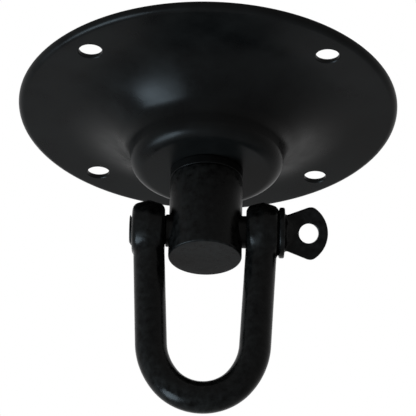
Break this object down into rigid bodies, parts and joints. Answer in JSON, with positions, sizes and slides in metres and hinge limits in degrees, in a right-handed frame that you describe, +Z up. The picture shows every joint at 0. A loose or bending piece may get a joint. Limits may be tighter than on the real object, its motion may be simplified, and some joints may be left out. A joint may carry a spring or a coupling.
{
  "type": "swivel ceiling hook",
  "caption": "Round domed steel ceiling plate with a ball-bearing swivel spindle that carries a screw-pin shackle, for hanging a swing, hammock or bag.",
  "frame": {"origin": "centre of the circle of the four screw holes, on the plate's face towards the ceiling, where the holes open", "axes": "+Z up into the ceiling along the swivel's axis, +X along the shackle's pin towards its wing, the front of the picture looks along +Y"},
  "size_m": [0.15, 0.15, 0.1312],
  "materials": {
    "black_paint": "gloss black paint",
    "bearing_steel": "ground bearing steel",
    "cage_steel": "pressed steel",
    "zinc_plated_steel": "zinc plated"
  },
  "bodies": {
    "ceiling_mount": {"ceiling_plate": "black_paint", "bearing_housing_race": "bearing_steel"},
    "ball_cage": {"bearing_cage": "cage_steel", "bearing_ball_01": "bearing_steel", "bearing_ball_02": "bearing_steel", "bearing_ball_03": "bearing_steel", "bearing_ball_04": "bearing_steel", "bearing_ball_05": "bearing_steel", "bearing_ball_06": "bearing_steel", "bearing_ball_07": "bearing_steel", "bearing_ball_08": "bearing_steel", "bearing_ball_09": "bearing_steel", "bearing_ball_10": "bearing_steel", "bearing_ball_11": "bearing_steel", "bearing_ball_12": "bearing_steel"},
    "swivel": {"spindle": "black_paint", "guide_washer": "black_paint", "bearing_shaft_race": "bearing_steel", "nut_washer": "zinc_plated_steel", "castle_nut": "zinc_plated_steel", "split_pin": "zinc_plated_steel"},
    "shackle": {"shackle_bow": "black_paint"},
    "pin": {"screw_pin": "black_paint"}
  },
  "joints": [
    {"name": "swivel_turn", "type": "hinge", "parent": "ceiling_mount", "child": "swivel", "pos_m": [0, 0, -0.0274], "axis": [0, 0, 1], "continuous": true},
    {"name": "cage_turn", "type": "hinge", "parent": "ceiling_mount", "child": "ball_cage", "pos_m": [0, 0, -0.021], "axis": [0, 0, 1], "continuous": true},
    {"name": "shackle_swing", "type": "hinge", "parent": "swivel", "child": "shackle", "pos_m": [0, 0, -0.0539], "axis": [1, 0, 0], "range_deg": [-120, 120]},
    {"name": "pin_withdraw", "type": "slide", "parent": "shackle", "child": "pin", "axis": [1, 0, 0], "range_m": [0, 0.058]}
  ],
  "couplings": [
    {"joint": "cage_turn", "follows": "swivel_turn", "ratio": 0.5}
  ]
}
